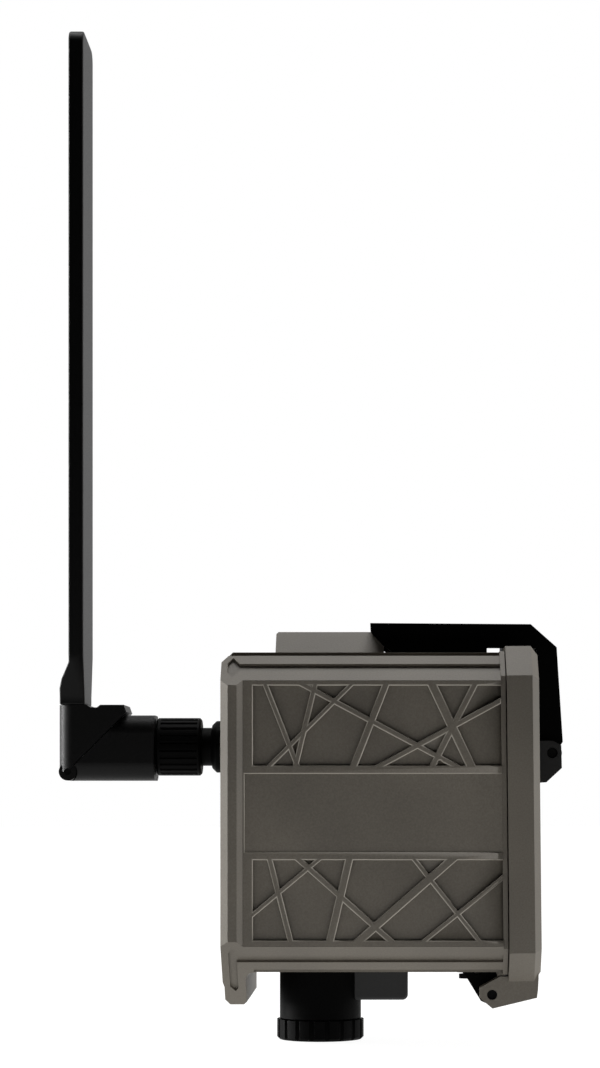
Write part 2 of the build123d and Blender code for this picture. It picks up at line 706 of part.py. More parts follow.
def latch_pin():
    return rod_y(latch_radius, latch_front - latch_side_gap - bracket_ear + 0.5,
                 latch_back + latch_side_gap + bracket_ear - 0.5, latch_x, latch_z)


def latch_lever():
    inner_x = door_x + door_thick + latch_clear - 0.1
    under = door_top + latch_clear + 0.1
    low = body_top + 0.5
    outline = [(-2.7, latch_top), (40.5, latch_top - 0.3), (47.5, 44.2), (49.15, 18.7), (48.6, 17.9),
               (inner_x + 0.6, 17.9), (inner_x, 19.0), (inner_x, under), (28.7, under), (28.7, low),
               (3.2, low), (2.8, 43.2), (1.0, 44.5), (-2.3, 48.0), (-2.6, 48.6)]
    lever = slab(outline, latch_front, latch_back)
    lever += rod_y(latch_hub, latch_front, latch_back, latch_x, latch_z)
    lever += box(latch_x - 2.2, latch_x + 2.2, latch_front, latch_back, latch_z, 19.5)
    inside = (latch_front + latch_cheek, latch_back - latch_cheek)
    lever -= box(-4, 27.0, inside[0], inside[1], 40, latch_top - latch_web)
    lever -= box(44.6, 60, inside[0] + 3, inside[1] - 3, 22, 40)
    lever -= box(28.7, door_x - 0.2, inside[0], latch_back + 1, under - 1, under + 2.6)
    return lever - rod_y(latch_radius + pin_fit, -depth, 0, latch_x, latch_z)


def latch_keeper():
    rise = keeper_top - body_top
    pad = side_slab([(keeper_front, body_top), (keeper_front + rise, keeper_top), (keeper_back, keeper_top),
                     (keeper_back, body_top)], keeper_left, keeper_right)
    pad = chamfer(pad.edges().group_by(Axis.Z)[-1].filter_by(Axis.Y), 0.6)
    for x, y in keeper_spots:
        pad -= rod_z(1.2, body_top - 1, body_top + 5, x, y)
    return pad


# ---- ports ---------------------------------------------------------------------------------
def port_spout():
    spout = rod_z(spout_radius, spout_bottom, body_bottom, port_x, port_y)
    thread_end = spout_bottom - port_thread_length
    spout += rod_z(port_thread_radius, thread_end, spout_bottom + 1, port_x, port_y)
    return spout - rod_z(spout_bore, thread_end - 1, body_bottom - 2.5, port_x, port_y) \
        - rod_z(2.0, -60, -40, port_x, port_y)


def port_connector():
    top = body_bottom - 2.5
    core = rod_z(6.5, spout_bottom + 2, top, port_x, port_y)
    core -= rod_z(5.3, spout_bottom + 1, spout_bottom + 8, port_x, port_y)
    core -= box(port_x - 1, port_x + 1, port_y + 5, port_y + 8, -60, spout_bottom + 8)
    return core + rod_z(1.95, top - 1, cavity_bottom + 1.5, port_x, port_y)


def connector_pins():
    top = spout_bottom + 8
    return group([rod_z(0.5, spout_bottom + 3, top, port_x + 3 * cos(a), port_y + 3 * sin(a))
                  for a in [2 * pi * n / 6 for n in range(6)]])


def port_seal():
    low = spout_bottom - port_thread_length
    seal = rod_z(port_thread_radius - 0.2, low - 1.1, low - pin_fit, port_x, port_y)
    return seal


def port_cap():
    low = spout_bottom - cap_height
    cap = rod_z(cap_radius, low, spout_bottom - 0.1, port_x, port_y)
    cap = chamfer(cap.edges().group_by(Axis.Z)[0], 0.7)
    for n in range(cap_ribs):
        a = 2 * pi * n / cap_ribs
        cap -= rod_z(0.75, low - 1, spout_bottom + 1, port_x + (cap_radius + 0.25) * cos(a),
                     port_y + (cap_radius + 0.25) * sin(a))
    seal_top = spout_bottom - port_thread_length
    return cap - rod_z(port_thread_radius + turn_fit, seal_top - 1.2, spout_bottom + 1, port_x, port_y)


def power_housing():
    body = box(port_x + 2, power_right, power_front, power_back, power_bottom, body_bottom)
    body = fillet(body.edges().filter_by(Axis.Y).group_by(Axis.X)[-1].group_by(Axis.Z)[0], 1.5)
    body = chamfer(body.edges().group_by(Axis.Z)[0].filter_by(Axis.X), 0.6)
    body -= rod_z(spout_radius + pin_fit, -70, -40, port_x, port_y)
    body -= rod_z(power_hole_radius, power_bottom - 1, body_bottom + 1, power_hole_x, port_y)
    return body - rod_z(5.2, power_bottom - 1, power_bottom + 1.2, power_hole_x, port_y)


def power_jack():
    jack = rod_z(power_hole_radius - 0.1, power_bottom + plug_length, cavity_bottom + 4, power_hole_x, port_y)
    return jack + rod_z(0.9, power_bottom + 3.2, power_bottom + plug_length + 1, power_hole_x, port_y)


def power_plug():
    plug = rod_z(5.0, power_bottom + 0.1, power_bottom + 1.1, power_hole_x, port_y)
    plug += rod_z(power_hole_radius - 0.3, power_bottom + 1, power_bottom + plug_length - 0.8,
                  power_hole_x, port_y)
    plug -= rod_z(1.3, power_bottom + 2.2, power_bottom + plug_length, power_hole_x, port_y)
    return plug - box(power_hole_x - 2.2, power_hole_x + 2.2, port_y - 0.6, port_y + 0.6, power_bottom - 1,
                      power_bottom + 0.6)


# ---- inside --------------------------------------------------------------------------------
board_y = (cavity_front + board_gap, cavity_front + board_gap + board_thick)
board_spots = [(x, z) for x in (board_left + 9, board_right - 4) for z in (board_bottom + 4, board_top - 5)]


def main_board():
    board = box(board_left, board_right, board_y[0], board_y[1], board_bottom, board_top)
    for x, z in board_spots:
        board -= rod_y(1.2, board_y[0] - 1, board_y[1] + 1, x, z)
    return board


def board_parts():
    y = board_y[1]
    spots = ((-31, 2, 5, 6), (-30, -14, 8, 8), (-16, -22, 10, 7), (0, -24, 6, 9), (11, 25, 5, 5),
             (-24, 28, 7, 4))
    return group([box(x, x + w, y, y + 1.5, z, z + h) for x, z, w, h in spots])


def board_spacers():
    return group([rod_y(2.4, cavity_front, board_y[0], x, z)
                  - rod_y(pilot_radius, cavity_front - 1, board_y[0] + 1, x, z) for x, z in board_spots])


def modem_module():
    y = board_y[1]
    module = box(-20.0, 8.0, y, y + 2.6, -6.0, 22.0)
    module = chamfer(module.edges().group_by(Axis.Y)[-1], 0.4)
    return module + rod_y(1.5, y + 2, y + 4.2, -15.0, aerial_z)


def sim_socket():
    y = board_y[1]
    socket = box(10.0, board_right, y, y + 2.4, sim_z - 8.0, sim_z + 8.0)
    return socket - box(11.0, far, y + 0.8, y + 1.8, sim_z - 6.4, sim_z + 6.4)


def sim_card():
    y = board_y[1]
    return box(12.0, 29.6, y + 0.9, y + 1.7, sim_z - 6.2, sim_z + 6.2)


def control_plate():
    plate = box(26.2, 27.8, cavity_front + 0.1, -50.5, cavity_bottom + 0.1, cavity_top - 0.1)
    y = board_y[1]
    plate -= box(25, 29, y + 0.7, y + 1.9, sim_z - 6.6, sim_z + 6.6)
    plate -= rod_x(button_radius + pin_fit, 25, 29, button_y, button_z)
    return plate - rod_x(lamp_radius + pin_fit, 25, 29, button_y, lamp_z)


def test_button():
    cap = rod_x(button_radius, 24.6, 29.0, button_y, button_z)
    return cap + rod_x(button_radius + 0.25, 24.6, 25.3, button_y, button_z)


def status_light():
    lamp = rod_x(lamp_radius, 24.4, 28.6, button_y, lamp_z)
    lamp = fillet(lamp.edges().group_by(Axis.X)[-1], 1.2)
    return lamp + box(22.8, 24.6, board_y[1], button_y + 1.4, lamp_z - 1.4, lamp_z + 1.4)


def switch_block():
    return box(20.5, 23.6, board_y[1], button_y + 2.2, button_z - 2.5, button_z + 2.5)


tray_back = cavity_back - seat_gap
cell_xs = [tray_right - tray_wall - cell_radius - 0.3 - cell_pitch * n for n in range(cell_columns)]
cell_ys = [tray_back - tray_wall - cell_radius - 0.1 - cell_pitch * n for n in range(cell_rows)]
tray_left = cell_xs[-1] - cell_radius - 0.3 - tray_wall
tray_front = cell_ys[-1] - cell_radius - 0.3 - tray_wall
cell_low = tray_bottom + tray_wall + spring_height
cell_high = cell_low + cell_length
tray_top = cell_high + 1.4 + tray_wall


def battery_tray():
    tray = box(tray_left, tray_right, tray_front, tray_back, tray_bottom, tray_top)
    tray -= box(tray_left + tray_wall, tray_right - tray_wall, tray_front - 1, tray_back - tray_wall,
                tray_bottom + tray_wall, tray_top - tray_wall)
    tray -= box(tray_right - 5, tray_right + 1, tray_front - 1, tray_back - 6,
                tray_bottom + 12, tray_top - 12)
    return tray


def tray_runners():
    rails = []
    for y in (tray_front + 0.3, tray_back - 6.5 - rail_width):
        rails.append(box(tray_left, 29.0, y, y + rail_width, tray_top + seat_gap, cavity_top))
        rails.append(box(tray_left, 29.0, y, y + rail_width, cavity_bottom, tray_bottom - seat_gap))
    return group(rails)


def battery_cells():
    cells = []
    for x in cell_xs:
        for y in cell_ys:
            cell = rod_z(cell_radius, cell_low, cell_high - 1.2, x, y)
            cells.append(fillet(cell.edges(), 0.5) + rod_z(2.7, cell_high - 2, cell_high, x, y))
    return group(cells)


def battery_springs():
    coils = []
    for x in cell_xs:
        for y in cell_ys:
            base = tray_bottom + tray_wall
            standing = (Align.CENTER, Align.CENTER, Align.MIN)
            coil = Pos(x, y, base) * Cone(4.6, 3.0, spring_height, align=standing)
            coils.append(coil - Pos(x, y, base + 0.5) * Cone(3.8, 2.2, spring_height, align=standing))
    return group(coils)


def contact_plates():
    z = tray_top - tray_wall
    return group([box(x - 4, x + 4, cell_ys[-1] - 4, cell_ys[0] + 4, z - 0.8, z) for x in cell_xs])


def antenna_lead():
    start = cavity_left + jack_tail
    y = board_y[1] + 3.45
    route = [(start, aerial_y, aerial_z), (start + 6.0, aerial_y, aerial_z), (start + 12.0, y, aerial_z),
             (start + 18.1, y, aerial_z)]
    path = FilletPolyline(*route, radius=4.6)
    return sweep(Plane(origin=route[0], z_dir=(1, 0, 0)) * Circle(0.7), path=path)


def cover_screws(y_seat, y_tip):
    return group([screw_y(x, z, y_seat(z), y_tip) for x, z in screw_spots])


def screws_z(spots, z_seat, z_tip, shaft=1.05, head=2.1):
    """Pan head screws along Z, their heads' seats at z_seat."""
    screws = []
    way = 1 if z_seat > z_tip else -1
    for x, y in spots:
        low, high = sorted((z_seat, z_tip))
        h0, h1 = sorted((z_seat, z_seat + way * 1.2))
        c0, c1 = sorted((z_seat + way * 0.6, z_seat + way * 2))
        screw = rod_z(shaft, low, high, x, y) + rod_z(head, h0, h1, x, y)
        screw -= box(x - 1.2, x + 1.2, y - 0.25, y + 0.25, c0, c1)
        screws.append(screw - box(x - 0.25, x + 0.25, y - 1.2, y + 1.2, c0, c1))
    return group(screws)


NODES = {
    "front_cover": front_cover,
    "front_panel": front_panel,
    "housing_shell": housing_shell,
    "rear_cover": rear_cover,
    "strap_bridge": strap_bridge,
    "bridge_screws": lambda: group([screw_y(x, bridge_screw_z, -bridge_sink, shell_back + 0.2)
                                    for x in bridge_screw_xs]),
    "thread_insert": thread_insert,
    "rear_screws": lambda: cover_screws(lambda z: -rear_recess - 0.2 if z > 0 else -5.0, cavity_back - 3.2),
    "front_screws": lambda: cover_screws(lambda z: cavity_front, cover_back - 3.0),
    "latch_keeper": latch_keeper,
    "keeper_screws": lambda: screws_z(keeper_spots, cavity_top, body_top + 4.5),
    "hinge_knuckle": hinge_knuckle,
    "knuckle_screws": lambda: screws_z(knuckle_spots, body_bottom - knuckle_seat, cavity_bottom + 2),
    "antenna_jack": antenna_jack,
    "jack_washer": jack_washer,
    "jack_nut": jack_nut,
    "antenna_nut": antenna_nut,
    "antenna_sleeve": antenna_sleeve,
    "antenna_knuckle": antenna_knuckle,
    "antenna_pin": antenna_pin,
    "antenna_blade": antenna_blade,
    "door_cover": door_cover,
    "door_liner": door_liner,
    "liner_screws": liner_screws,
    "door_seal": door_seal,
    "hinge_pin": hinge_pin,
    "latch_bracket": latch_bracket,
    "latch_screws": latch_screws,
    "latch_pin": latch_pin,
    "latch_lever": latch_lever,
    "port_spout": port_spout,
    "port_connector": port_connector,
    "connector_pins": connector_pins,
    "port_seal": port_seal,
    "port_cap": port_cap,
    "power_housing": power_housing,
    "power_jack": power_jack,
    "power_plug": power_plug,
    "main_board": main_board,
    "board_parts": board_parts,
    "board_spacers": board_spacers,
    "board_screws": lambda: group([screw_y(x, z, board_y[1], cavity_front - 2.0, head=2.0)
                                   for x, z in board_spots]),
    "modem_module": modem_module,
    "sim_socket": sim_socket,
    "sim_card": sim_card,
    "control_plate": control_plate,
    "test_button": test_button,
    "status_light": status_light,
    "switch_block": switch_block,
    "battery_tray": battery_tray,
    "tray_runners": tray_runners,
    "battery_cells": battery_cells,
    "battery_springs": battery_springs,
    "contact_plates": contact_plates,
    "antenna_lead": antenna_lead,
}

os.makedirs("parts", exist_ok=True)
for name, make in NODES.items():
    export_step(make(), f"parts/{name}.step")
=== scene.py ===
"""Looks of a weatherproof cellular link box: moulded shells, latch, aerial, ports and inner parts."""

import json
from math import radians

import bmesh
import bpy
from bpy.props import FloatProperty, FloatVectorProperty, PointerProperty
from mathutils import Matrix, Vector


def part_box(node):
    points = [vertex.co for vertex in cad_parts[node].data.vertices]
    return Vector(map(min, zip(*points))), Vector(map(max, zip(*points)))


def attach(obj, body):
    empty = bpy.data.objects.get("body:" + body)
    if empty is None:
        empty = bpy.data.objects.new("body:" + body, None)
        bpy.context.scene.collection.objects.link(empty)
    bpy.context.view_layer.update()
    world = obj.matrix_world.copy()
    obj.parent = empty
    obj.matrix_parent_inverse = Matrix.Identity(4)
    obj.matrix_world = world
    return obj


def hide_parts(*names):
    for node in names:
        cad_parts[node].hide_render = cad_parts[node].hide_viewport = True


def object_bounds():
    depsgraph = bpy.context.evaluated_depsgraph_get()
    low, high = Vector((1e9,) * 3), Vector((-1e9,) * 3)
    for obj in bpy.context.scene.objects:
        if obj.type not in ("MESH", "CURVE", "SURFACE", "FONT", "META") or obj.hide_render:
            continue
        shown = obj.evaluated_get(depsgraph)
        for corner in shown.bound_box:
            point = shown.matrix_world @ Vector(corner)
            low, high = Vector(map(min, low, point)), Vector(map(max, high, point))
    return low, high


bl_info = {
    "name": "Cellular Link Box",
    "version": (1, 0, 0),
    "blender": (4, 5, 0),
    "location": "View3D > Sidebar > Link Box",
    "description": "Moulded shells, latch, aerial, ports and inner parts of a weatherproof link box",
    "category": "Object",
}

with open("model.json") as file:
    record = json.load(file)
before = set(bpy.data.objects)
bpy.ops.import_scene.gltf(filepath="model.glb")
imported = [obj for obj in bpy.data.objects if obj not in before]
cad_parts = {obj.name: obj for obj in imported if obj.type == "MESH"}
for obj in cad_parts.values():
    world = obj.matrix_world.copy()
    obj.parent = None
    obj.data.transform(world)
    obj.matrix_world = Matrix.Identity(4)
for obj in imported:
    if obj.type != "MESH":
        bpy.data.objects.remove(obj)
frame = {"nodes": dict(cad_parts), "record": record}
CAD_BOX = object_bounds()
BODY_OF = {node: body for body, nodes in frame["record"]["behaviour"]["bodies"].items() for node in nodes}
SLOT_OF = {part["node"]: part["material_slot"] for part in frame["record"]["subparts"]}
MM = 0.001

# engraving of the front panel
LATTICE_BANDS = ((0.0120, 0.0330), (-0.0336, -0.0125))   # heights that the two windows of ribs fill
PLAIN_BAND = ((-0.0108, 0.0102),)                        # heights that hold the plain band's edges
PANEL_MARGIN = 0.4 * MM                                  # the panel's own ends stay sharp
# These fixings get black-oxide steel. On the hinge, latch and aerial pins the dark colour is painted shade, standing
# in for the shadow in the pin holes.
DARK_FINISH_AND_PAINTED_SHADE_FIXINGS = ("hinge_pin", "latch_pin", "antenna_pin", "knuckle_screws", "latch_screws", "bridge_screws",
                "rear_screws")

# studio
FLOOR_SIZE = 3.0
FLOOR_MIDDLE_Y = 2.6
FLOOR_DROP = 0.2 * MM
FLOOR_GLOW = 0.96
ROOM_LEVELS = {"From Min": -0.1, "From Max": 0.35, "To Min": 0.005, "To Max": 0.95}
AIM = (0, -0.04, 0.03)
SOFT_BOXES = (   # name, place, size and power
    ("left_box", (-1.3, 0.15, 0.1), (0.3, 1.1), 55.0),
    ("right_box", (1.3, -0.13, 0.05), (0.12, 1.1), 12.0),
    ("top_box", (0.0, 0.07, 1.5), (1.4, 0.4), 18.0))
CAMERA_PLACE = (0.0013, -0.772, 0.0031)
CAMERA_LENS = 90.75
CAMERA_SHIFT = (-0.0796, 0.249)

# node kinds that many materials use
NOISE = "ShaderNodeTexNoise"
RAMP = "ShaderNodeValToRGB"
RANGE = "ShaderNodeMapRange"
MIX = "ShaderNodeMix"
BUMP = "ShaderNodeBump"
MAPPING = "ShaderNodeMapping"
MIX_FACTOR, MIX_A, MIX_B, MIX_RESULT = 0, 6, 7, 2   # a colour mix's sockets
NOISE_SPAN = {"From Min": 0.3, "From Max": 0.7}     # where nearly all of a noise's values lie


# ---- colours and sizes that a user may change --------------------------------------------------
def linear(hex_colour):
    """An sRGB hex colour as linear RGBA."""
    out = []
    for n in (1, 3, 5):
        c = int(hex_colour[n:n + 2], 16) / 255
        out.append(c / 12.92 if c <= 0.04045 else ((c + 0.055) / 1.055) ** 2.4)
    return (*out, 1.0)


def colour_choice(name, description, hex_colour):
    """A colour that the panel shows."""
    return FloatVectorProperty(name=name, description=description, subtype="COLOR", size=3, min=0.0, max=1.0,
                               default=linear(hex_colour)[:3])


def length_choice(name, description, length_mm, most_mm=1.0):
    """A small length that the panel shows."""
    return FloatProperty(name=name, description=description, unit="LENGTH", precision=5,
                         default=length_mm * MM, min=0.05 * MM, max=most_mm * MM)


class LinkBoxSizes(bpy.types.PropertyGroup):
    """Edge roundings, which change how the moulded pieces catch the light."""
    shell_round: length_choice("Shell edge", "Rounding of the shells' edges", 0.35)
    rib_round: length_choice("Lattice edge", "Rounding of the lattice ribs' edges", 0.4, 0.55)
    band_round: length_choice("Band edge", "Rounding of the plain band's edges", 0.3, 0.38)
    black_round: length_choice("Black edge", "Rounding of the black mouldings' edges", 0.3)
    aerial_round: length_choice("Aerial edge", "Rounding of the aerial's soft edges", 0.5)
    nut_round: length_choice("Nut edge", "Rounding of the aerial nut's ribs", 0.15, 0.3)
    cap_round: length_choice("Cap edge", "Rounding of the port cap's ribs", 0.25, 0.4)
    small_round: length_choice("Small edge", "Rounding of the jack's and the plug's edges", 0.2, 0.4)


class LinkBoxColours(bpy.types.PropertyGroup):
    """Colours of the pieces that show, and of what is seen behind them."""
    shell_dark: colour_choice("Shell, dark", "Hollows of the shell's grain", "#625c52")
    shell_mid: colour_choice("Shell", "Most of the shell's skin", "#686258")
    shell_light: colour_choice("Shell, light", "Peaks of the shell's grain", "#6f695f")
    # Painted highlight: a light colour laid on the engraving's rounded edges in place of the light they catch.
    shell_painted_highlight: colour_choice("Shell, worn", "Rubbed edges of the engraving", "#a19b90")
    black_dark: colour_choice("Black", "Black mouldings", "#020202")
    black_light: colour_choice("Black, fibres", "Fibres in the black mouldings", "#060606")
    aerial_dark: colour_choice("Aerial, dark", "Hollows of the aerial's grain", "#030303")
    aerial_mid: colour_choice("Aerial", "Most of the aerial's skin", "#050505")
    aerial_light: colour_choice("Aerial, light", "Peaks of the aerial's grain", "#080808")
    background: colour_choice("Background", "Colour seen behind the box", "#ffffff")


# ---- materials ---------------------------------------------------------------------------------
def add_node(tree, kind, inputs=None, stops=(), **settings):
    """Adds a node with its settings and a ramp's stops, and links or sets its inputs."""
    node = tree.nodes.new(kind)
    for name, value in settings.items():
        setattr(node, name, value)
    if stops:
        bar = node.color_ramp.elements
        while len(bar) < len(stops):
            bar.new(0.5)
        for element, (position, colour) in zip(bar, stops):
            element.position = position
            element.color = linear(colour) if isinstance(colour, str) else (*colour[:3], 1.0)
    for socket, value in (inputs or {}).items():
        if isinstance(value, bpy.types.NodeSocket):
            tree.links.new(value, node.inputs[socket])
        else:
            node.inputs[socket].default_value = value
    return node


def new_material(name):
    """An empty node material, with the object coordinates that its patterns follow."""
    material = bpy.data.materials.new(name)
    material.use_nodes = True
    tree = material.node_tree
    tree.nodes.clear()
    return material, tree, add_node(tree, "ShaderNodeTexCoord").outputs["Object"]


def close_material(material, inputs):
    """Ends a material with its shader and output."""
    tree = material.node_tree
    shader = add_node(tree, "ShaderNodeBsdfPrincipled", inputs)
    add_node(tree, "ShaderNodeOutputMaterial", {"Surface": shader.outputs["BSDF"]})
    return material


def eroded_abs(name, dark, mid, light, grain_mm, depth_mm, rough, specular=0.5, painted_highlight=None):
    """ABS from a spark-eroded mould: a matt, sandy skin with a faint speckle, and slow cloudy shifts.

    The real grain, about 0.1 mm, is too fine to show, so it is drawn coarser, at four or five times that.
    A painted highlight is a light colour laid on the rounded edges of an engraving, where the surface turns from the
    face to the side, in place of the light that those edges catch.
    """
    material, tree, place = new_material(name)
    fine = add_node(tree, NOISE, {"Vector": place, "Scale": 1 / (grain_mm * MM)}).outputs["Fac"]
    speckle = add_node(tree, RAMP, {"Fac": fine}, [(0.3, dark), (0.5, mid), (0.72, light)]).outputs["Color"]
    cloud = add_node(tree, NOISE, {"Vector": place, "Scale": 1 / (26.0 * MM), "Detail": 1.0}).outputs["Fac"]
    shade = add_node(tree, RAMP, {"Fac": cloud}, [(0.3, "#e6e6e6"), (0.7, "#ffffff")]).outputs["Color"]
    skin = add_node(tree, MIX, {MIX_FACTOR: 1.0, MIX_A: speckle, MIX_B: shade},
                    data_type="RGBA", blend_type="MULTIPLY").outputs[MIX_RESULT]
    # Painted highlight: bevels turning between the front face and the sides get a light colour by their facing, in
    # place of the light they catch.
    if painted_highlight:
        turned = add_node(tree, "ShaderNodeNewGeometry").outputs["True Normal"]
        facing = add_node(tree, "ShaderNodeVectorTransform", {"Vector": turned}, vector_type="NORMAL",
                          convert_from="WORLD", convert_to="OBJECT").outputs["Vector"]
        ahead = add_node(tree, "ShaderNodeSeparateXYZ", {"Vector": facing}).outputs["Y"]
        leaves_side = add_node(tree, RANGE, {"Value": ahead, "From Min": -0.1, "From Max": -0.35}).outputs["Result"]
        meets_face = add_node(tree, RANGE, {"Value": ahead, "From Min": -0.8, "From Max": -0.97,
                                            "To Min": 1.0, "To Max": 0.0}).outputs["Result"]
        edge = add_node(tree, "ShaderNodeMath", {0: leaves_side, 1: meets_face}, operation="MULTIPLY").outputs[0]
        skin = add_node(tree, MIX, {MIX_FACTOR: edge, MIX_A: skin, MIX_B: (*painted_highlight[:3], 1.0)},
                        data_type="RGBA").outputs[MIX_RESULT]
    sheen = add_node(tree, RANGE, {"Value": fine, **NOISE_SPAN, "To Min": rough - 0.06, "To Max": rough + 0.08})
    sand = add_node(tree, BUMP, {"Height": fine, "Distance": depth_mm * MM, "Strength": 0.6})
    return close_material(material, {
        "Base Color": skin, "Roughness": sheen.outputs["Result"], "Normal": sand.outputs["Normal"],
        "IOR": 1.53, "Specular IOR Level": specular})


def filled_nylon(name, dark, light, rough, specular):
    """Glass-filled nylon: near black and even, with short pale fibres that only just show in the gloss.

    Real fibres, about 0.3 mm long, are too fine to show, so they are drawn coarser.
    """
    material, tree, place = new_material(name)
    streak = add_node(tree, MAPPING, {"Vector": place, "Scale": (1.0, 1.0, 3.0)}).outputs["Vector"]
    fibre = add_node(tree, NOISE, {"Vector": streak, "Scale": 1 / (0.9 * MM), "Detail": 3.0,
                                   "Roughness": 0.7}).outputs["Fac"]
    skin = add_node(tree, NOISE, {"Vector": place, "Scale": 1 / (0.35 * MM)}).outputs["Fac"]
    colour = add_node(tree, RAMP, {"Fac": fibre}, [(0.35, dark), (0.75, light)])
    sheen = add_node(tree, RANGE, {"Value": fibre, **NOISE_SPAN, "To Min": rough - 0.06, "To Max": rough + 0.1})
    relief = add_node(tree, BUMP, {"Height": skin, "Distance": 0.012 * MM, "Strength": 0.5})
    return close_material(material, {
        "Base Color": colour.outputs["Color"], "Roughness": sheen.outputs["Result"],
        "Normal": relief.outputs["Normal"], "IOR": 1.53, "Specular IOR Level": specular})


def soft_rubber(name, dark, light):
    """Moulded silicone rubber: matt, with a dusty bloom in patches."""
    material, tree, place = new_material(name)
    bloom = add_node(tree, NOISE, {"Vector": place, "Scale": 1 / (3.5 * MM), "Detail": 3.0}).outputs["Fac"]
    skin = add_node(tree, NOISE, {"Vector": place, "Scale": 1 / (0.25 * MM)}).outputs["Fac"]
    colour = add_node(tree, RAMP, {"Fac": bloom}, [(0.35, dark), (0.7, light)])
    sheen = add_node(tree, RANGE, {"Value": bloom, **NOISE_SPAN, "To Min": 0.62, "To Max": 0.86})
    relief = add_node(tree, BUMP, {"Height": skin, "Distance": 0.01 * MM, "Strength": 0.5})
    return close_material(material, {
        "Base Color": colour.outputs["Color"], "Roughness": sheen.outputs["Result"],
        "Normal": relief.outputs["Normal"], "IOR": 1.43, "Specular IOR Level": 0.25})


def plated_metal(name, tint, deep, rough, mark_mm=0.12):
    """Plated metal: a bright skin with fine turning marks and a slightly dull bloom."""
    material, tree, place = new_material(name)
    drawn = add_node(tree, MAPPING, {"Vector": place, "Scale": (1.0, 6.0, 1.0)}).outputs["Vector"]
    marks = add_node(tree, NOISE, {"Vector": drawn, "Scale": 1 / (mark_mm * MM)}).outputs["Fac"]
    bloom = add_node(tree, NOISE, {"Vector": place, "Scale": 1 / (2.5 * MM)}).outputs["Fac"]
    colour = add_node(tree, RAMP, {"Fac": bloom}, [(0.35, deep), (0.65, tint)])
    sheen = add_node(tree, RANGE, {"Value": bloom, **NOISE_SPAN, "To Min": rough, "To Max": rough + 0.15})
    relief = add_node(tree, BUMP, {"Height": marks, "Distance": 0.004 * MM, "Strength": 0.4})
    return close_material(material, {
        "Base Color": colour.outputs["Color"], "Roughness": sheen.outputs["Result"],
        "Normal": relief.outputs["Normal"], "Metallic": 1.0})


def solder_mask(name):
    """Solder mask over glass epoxy: glossy green, copper tracks showing as paler bands, and a faint weave."""
    material, tree, place = new_material(name)
    flat = add_node(tree, MAPPING, {"Vector": place, "Rotation": (radians(90), 0, 0)}).outputs["Vector"]
    tracks = add_node(tree, "ShaderNodeTexBrick", {
        "Vector": flat, "Scale": 1.0, "Color1": linear("#0c3d1e"), "Color2": linear("#0a351b"),
        "Mortar": linear("#23693a"), "Mortar Size": 0.22 * MM, "Mortar Smooth": 0.1,
        "Brick Width": 5.2 * MM, "Row Height": 1.3 * MM}, offset=0.37, squash=1.6, squash_frequency=3)
    weave = add_node(tree, "ShaderNodeTexWave", {"Vector": place, "Scale": 1 / (6.0 * MM), "Distortion": 0.6},
                     bands_direction="DIAGONAL").outputs["Fac"]
    patches = add_node(tree, NOISE, {"Vector": place, "Scale": 1 / (1.5 * MM)}).outputs["Fac"]
    sheen = add_node(tree, RANGE, {"Value": patches, **NOISE_SPAN, "To Min": 0.28, "To Max": 0.42})
    raised = add_node(tree, BUMP, {"Height": tracks.outputs["Fac"], "Distance": 0.03 * MM, "Strength": 0.6})
    woven = add_node(tree, BUMP, {"Height": weave, "Distance": 0.006 * MM, "Strength": 0.3,
                                  "Normal": raised.outputs["Normal"]})
    return close_material(material, {
        "Base Color": tracks.outputs["Color"], "Roughness": sheen.outputs["Result"],
        "Normal": woven.outputs["Normal"], "IOR": 1.55, "Coat Weight": 0.35})


def shrunk_wrapper(name):
    """Shrunk PVC on a dry cell: dark, smooth, with a plain pale band round the positive end and a bare tip."""
    material, tree, place = new_material(name)
    height = add_node(tree, "ShaderNodeSeparateXYZ", {"Vector": place}).outputs["Z"]
    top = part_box("battery_cells")[1].z
    step = top - 13 * MM
    band = add_node(tree, RANGE, {"Value": height, "From Min": step - 0.1 * MM,
                                  "From Max": step + 0.1 * MM}).outputs["Result"]
    tip = add_node(tree, RANGE, {"Value": height, "From Min": top - 1.5 * MM,
                                 "From Max": top - 1.3 * MM}).outputs["Result"]
    slow, patches, fine = (add_node(tree, NOISE, {"Vector": place, "Scale": 1 / (size_mm * MM)}).outputs["Fac"]
                           for size_mm in (6.0, 2.0, 0.8))
    sleeve = add_node(tree, RAMP, {"Fac": slow}, [(0.3, "#1b1f22"), (0.7, "#23282c")]).outputs["Color"]
    banded = add_node(tree, MIX, {MIX_FACTOR: band, MIX_A: sleeve, MIX_B: linear("#a08a5c")},
                      data_type="RGBA").outputs[MIX_RESULT]
    tipped = add_node(tree, MIX, {MIX_FACTOR: tip, MIX_A: banded, MIX_B: linear("#b9b9b6")},
                      data_type="RGBA").outputs[MIX_RESULT]
    sheen = add_node(tree, RANGE, {"Value": patches, **NOISE_SPAN, "To Min": 0.22, "To Max": 0.36})
    relief = add_node(tree, BUMP, {"Height": fine, "Distance": 0.008 * MM, "Strength": 0.4})
    return close_material(material, {
        "Base Color": tipped, "Roughness": sheen.outputs["Result"], "Normal": relief.outputs["Normal"],
        "Metallic": tip, "IOR": 1.53})


